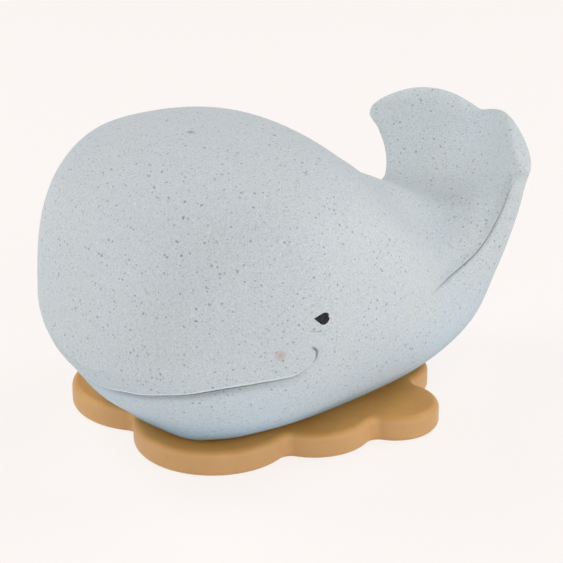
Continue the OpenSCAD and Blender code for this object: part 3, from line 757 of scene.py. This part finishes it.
# Tan rubber: cloudy, with painted light making the faces that stand upright lighter, and few flecks.
def tanRubberMaterial():
    values = tanRubber
    material, tree, shader, vector = newMaterial("tanRubber", Specular_IOR_Level=values["specular"])
    cloud = addNoise(tree, vector, values["cloudScale"], 4.0, 0.6)
    colour = mixColour(tree, remap(tree, cloud.outputs[0], 0.35, 0.65), values["deep"], values["colour"])
    normal = addNode(tree, "NewGeometry").outputs["Normal"]
    up = addNode(tree, "SeparateXYZ", {0: normal}).outputs["Z"]
    # Painted light: the upright faces are mixed towards the lighter colour.
    paintedSideLight = remap(tree, mathNode(tree, "ABSOLUTE", up), 0.25, 0.95, 1.0, 0.0)
    colour = mixColour(tree, mathNode(tree, "MULTIPLY", paintedSideLight, values["paintedSideLightShare"]), colour, values["light"])
    colour = addFlecks(tree, vector, colour, values["fleckBend"], *values["flecks"])
    tree.links.new(colour, shader.inputs["Base Color"])
    finishRubber(tree, shader, vector, cloud, values)
    return material


darkRubber = {"dark": pixelColour(14, 16, 19), "light": pixelColour(46, 50, 53), "roughness": 0.5, "specular": 0.14,
    "scale": 900.0, "bump": (0.4, 0.00015)}


def darkRubberMaterial():
    values = darkRubber
    material, tree, shader, vector = newMaterial("darkRubber", Roughness=values["roughness"],
        Specular_IOR_Level=values["specular"])
    noise = addNoise(tree, vector, values["scale"], 3.0)
    colour = mixColour(tree, remap(tree, noise.outputs[0], 0.35, 0.7), values["dark"], values["light"])
    tree.links.new(colour, shader.inputs["Base Color"])
    addBump(tree, shader, noise, values["bump"])
    return material


plastic = {"cloudScale": 220.0, "flowScale": 1500.0, "bump": (0.25, 0.0001), "rough": (-0.05, 0.08)}


def mouldedPlasticMaterial(name, light, dark, roughness):
    material, tree, shader, vector = newMaterial(name)
    cloud = addNoise(tree, vector, plastic["cloudScale"], 4.0, 0.6)
    tree.links.new(mixColour(tree, remap(tree, cloud.outputs[0], 0.3, 0.7), dark, light), shader.inputs["Base Color"])
    flow = addNoise(tree, vector, plastic["flowScale"], 2.0)
    addBump(tree, shader, flow, plastic["bump"])
    low, high = (roughness + more for more in plastic["rough"])
    tree.links.new(remap(tree, flow.outputs[0], 0.3, 0.7, low, high), shader.inputs["Roughness"])
    return material


# Camera at the photograph's angle, worked out from its outline, and a plain pale stage.
view = {"azimuth": -38.0, "elevation": 22.1, "distance": 0.576, "target": (0.0045, 0.0, 0.0412),
    "pixelsPerMm": 3.778, "targetPixel": (278.15, 258.8), "frame": 563, "sensor": 36, "clip": (0.01, 50)}


# Unit vector from the object to an azimuth and elevation in degrees; azimuth 0 is -Y.
def direction(azimuth, elevation):
    a, e = np.radians(azimuth), np.radians(elevation)
    return Vector((np.sin(a) * np.cos(e), -np.cos(a) * np.cos(e), np.sin(e)))


def makeCamera():
    back = direction(view["azimuth"], view["elevation"])
    data = bpy.data.cameras.new("photoCamera")
    data.sensor_width = view["sensor"]
    data.lens = view["pixelsPerMm"] * view["distance"] * 1000 * view["sensor"] / view["frame"]
    data.shift_x = (view["frame"] / 2 - view["targetPixel"][0]) / view["frame"]
    data.shift_y = -(view["frame"] / 2 - view["targetPixel"][1]) / view["frame"]
    data.clip_start, data.clip_end = view["clip"]
    camera = bpy.data.objects.new("photoCamera", data)
    camera.location = Vector(view["target"]) + back * view["distance"]
    camera.rotation_euler = back.to_track_quat("Z", "Y").to_euler()
    bpy.context.scene.collection.objects.link(camera)
    bpy.context.scene.camera = camera


stage = {"background": pixelColour(251, 246, 243), "world": 0.004, "horizon": 0.955, "lampTarget": (0.01, 0, 0.04),
    "floorHalf": 3000.0, "floorShare": 0.16, "floorLight": 0.735,
    "bounce": 0.166, "bounceColour": (0.82, 0.8, 0.78, 1), "liftColour": (0.9, 0.96, 1, 1)}

lamps = {      # azimuth as for the camera, elevation, distance, size, power, and a spot's cone and target
    "front": (-38.0, 25.0, 1.0, 0.7, 2.5),
    "right": (20.0, 20.0, 1.0, 0.7, 3.25),
    "left": (-108.0, 20.0, 1.0, 0.7, 2.45),
    "tailSide": (75.0, 45.0, 1.0, 0.7, 4),
    "back": (-150.0, 45.0, 1.0, 0.7, 4.25),
    "flukes": (-40.0, 12.0, 0.8, 0.12, 7.5, 6.5, (0.068, -0.012, 0.083)),
}


# 1 for the camera's, the glossy and the transmitted rays, which see the background, and 0 for the others.
def seenRays(tree):
    path = addNode(tree, "LightPath")
    return mathNode(tree, "MAXIMUM", path.outputs["Is Camera Ray"],
        mathNode(tree, "MAXIMUM", path.outputs["Is Glossy Ray"], path.outputs["Is Transmission Ray"]))


# World of the background's colour for the rays that see it, and of a plain weak light for the others.
def makeWorld(scene):
    world = bpy.data.worlds.new("studio")
    scene.world = world
    world.use_nodes = True
    tree = world.node_tree
    seen = seenRays(tree)
    light = addNode(tree, "Background", {"Color": (1, 1, 1, 1), "Strength": stage["world"]})
    plain = addNode(tree, "Background", {"Color": stage["background"], "Strength": stage["horizon"]})
    mixed = addNode(tree, "MixShader", {0: seen, 1: light.outputs[0], 2: plain.outputs[0]})
    tree.links.new(mixed.outputs[0], tree.nodes["World Output"].inputs["Surface"])


# Round area lamps, and one spot on the tail.
def makeLamps(scene):
    for name, (azimuth, elevation, distance, size, power, *spot) in lamps.items():
        cone, target = spot or (None, stage["lampTarget"])
        back = direction(azimuth, elevation)
        data = bpy.data.lights.new(name, "SPOT" if cone else "AREA")
        data.energy = power
        if cone:
            data.spot_size, data.spot_blend, data.shadow_soft_size = np.radians(cone), 1.0, size / 2
        else:
            data.shape, data.size = "DISK", size
        lampObject = bpy.data.objects.new(name, data)
        lampObject.location = Vector(target) + back * distance
        lampObject.rotation_euler = back.to_track_quat("Z", "Y").to_euler()
        scene.collection.objects.link(lampObject)


# Floor that glows with the background's colour and takes a share of shadow where it is seen, and throws
# light on the object for the other rays.
def makeFloor():
    half = stage["floorHalf"]
    floor = makePiece("floor", np.array([[-half, -half, 0], [half, -half, 0], [half, half, 0], [-half, half, 0.0]]),
        np.array([[0, 1, 2, 3]]))
    material = bpy.data.materials.new("paleFloor")
    material.use_nodes = True
    tree = material.node_tree
    tree.nodes.remove(tree.nodes["Principled BSDF"])
    seen, share, colour = seenRays(tree), stage["floorShare"], stage["background"]
    matt = addNode(tree, "BsdfDiffuse", {"Color": tuple(share * c for c in colour[:3]) + (1,)})
    glow = addNode(tree, "Emission", {"Color": colour, "Strength": 1 - share * stage["floorLight"]})
    shown = addNode(tree, "AddShader", {0: matt.outputs[0], 1: glow.outputs[0]})
    bounce = addNode(tree, "BsdfDiffuse", {"Color": stage["bounceColour"]})
    lift = addNode(tree, "Emission", {"Color": stage["liftColour"], "Strength": stage["bounce"]})
    thrown = addNode(tree, "AddShader", {0: bounce.outputs[0], 1: lift.outputs[0]})
    mixed = addNode(tree, "MixShader", {0: seen, 1: thrown.outputs[0], 2: shown.outputs[0]})
    tree.links.new(mixed.outputs[0], tree.nodes["Material Output"].inputs["Surface"])
    floor.data.materials.append(material)


def makeStage():
    scene = bpy.context.scene
    scene.view_settings.view_transform = "Standard"
    makeWorld(scene)
    makeLamps(scene)
    makeFloor()


makeCamera()
makeStage()
print("camera and stage made")

body = makeWhale()
body.data.materials.clear()
body.data.materials.append(paleRubberMaterial())
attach(body, "whale")
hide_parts("whale_body")
print("whale made,", len(body.data.polygons), "faces")

eyeMaterial = darkRubberMaterial()
for name, node, mirror in (("eyeLeft", "eye_left", False), ("eyeRight", "eye_right", True)):
    piece = makeEye(name, mirror)
    piece.data.materials.append(eyeMaterial)
    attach(piece, "whale")
    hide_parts(node)
print("eyes made")

stopper = makePlate()
stopper.data.materials.append(tanRubberMaterial())
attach(stopper, "base")
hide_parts("base_plate")
print("plate made,", len(stopper.data.polygons), "faces")

shell = mouldedPlasticMaterial("whitePlastic", pixelColour(238, 238, 232), pixelColour(226, 226, 218), 0.35)
film = mouldedPlasticMaterial("reedFilm", pixelColour(210, 216, 214), pixelColour(196, 203, 202), 0.3)
for node, material in (("squeaker_cup", shell), ("squeaker_cap", shell), ("reed_plate", shell),
        ("squeaker_reed", film)):
    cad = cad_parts[node]
    cad.data.materials.clear()
    cad.data.materials.append(material)
print("squeaker finished")
